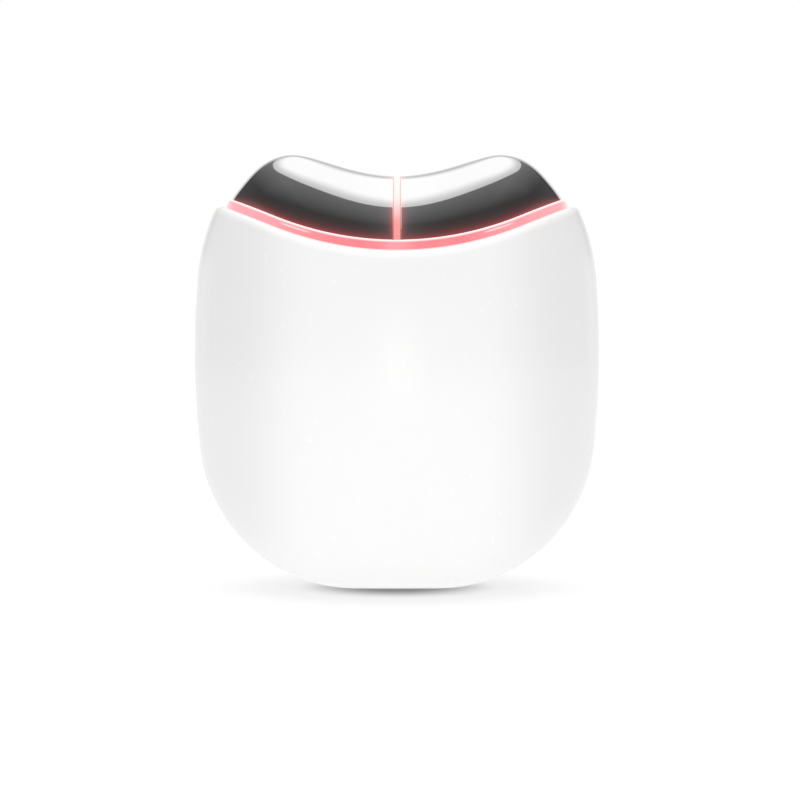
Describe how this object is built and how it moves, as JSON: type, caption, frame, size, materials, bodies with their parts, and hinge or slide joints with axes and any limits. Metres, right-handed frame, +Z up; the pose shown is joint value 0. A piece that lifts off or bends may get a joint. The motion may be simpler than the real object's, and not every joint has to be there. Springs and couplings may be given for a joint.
{
  "type": "facial toning device",
  "caption": "Hand-held facial toner: pebble casing with a saddle top, rounded metal electrodes split by a glowing bar and ring, and press buttons on the back.",
  "frame": {"origin": "middle of the flat base that the device stands on, on the seam between its shells", "axes": "+Z up, -Y out of the front face, +X to the right seen from the front"},
  "size_m": [0.0774, 0.034, 0.0833],
  "materials": {
    "white_casing": "white, high gloss, moulded",
    "polished_metal": "mirror polished plating",
    "light_guide": "milky translucent plastic, lit pink red from inside",
    "button_plastic": "white, satin dish with a cut symbol",
    "light_pipe": "frosted clear plastic",
    "black_plastic": "moulded, matt",
    "grey_plastic": "moulded, matt",
    "cream_plastic": "nylon, matt",
    "led_white": "LED packages",
    "seal_rubber": "silicone, matt",
    "circuit_board": "green solder mask",
    "flex_amber": "amber polyimide",
    "ferrite": "ferrite core, matt",
    "capacitor_can": "drawn can",
    "screw_steel": "zinc plated",
    "socket_steel": "nickel plated",
    "battery_foil": "laminated foil pouch",
    "foam_tape": "double-sided foam",
    "lead_red": "soft insulation"
  },
  "bodies": {
    "body": {"front_casing": "white_casing", "rear_casing": "white_casing", "screw_plugs": "white_casing", "casing_screws": "screw_steel", "light_guide": "light_guide", "electrode_left": "polished_metal", "electrode_right": "polished_metal", "electrode_screws": "screw_steel", "head_chassis": "grey_plastic", "head_gasket": "seal_rubber", "led_flex": "flex_amber", "ring_leds": "led_white", "electrode_lead_left": "lead_red", "electrode_lead_right": "lead_red", "main_board": "circuit_board", "board_screws": "screw_steel", "microcontroller": "black_plastic", "charger_chip": "black_plastic", "output_transformer": "ferrite", "capacitors": "capacitor_can", "power_switch": "black_plastic", "level_switch": "black_plastic", "indicator_leds": "led_white", "indicator_light_pipe": "light_pipe", "usb_shell": "socket_steel", "usb_tongue": "black_plastic", "battery": "battery_foil", "battery_tape": "foam_tape", "battery_leads": "lead_red", "battery_plug": "cream_plastic", "battery_socket": "cream_plastic", "flex_socket": "cream_plastic"},
    "power_key": {"power_button": "button_plastic", "power_plunger": "grey_plastic"},
    "level_key": {"level_button": "button_plastic", "level_plunger": "grey_plastic"}
  },
  "joints": [
    {"name": "power_press", "type": "slide", "parent": "body", "child": "power_key", "axis": [0, -1, 0], "range_m": [0, 0.0005], "stiffness_N_per_m": 800, "springref_m": -0.0015},
    {"name": "level_press", "type": "slide", "parent": "body", "child": "level_key", "axis": [0, -1, 0], "range_m": [0, 0.0005], "stiffness_N_per_m": 800, "springref_m": -0.0015}
  ]
}
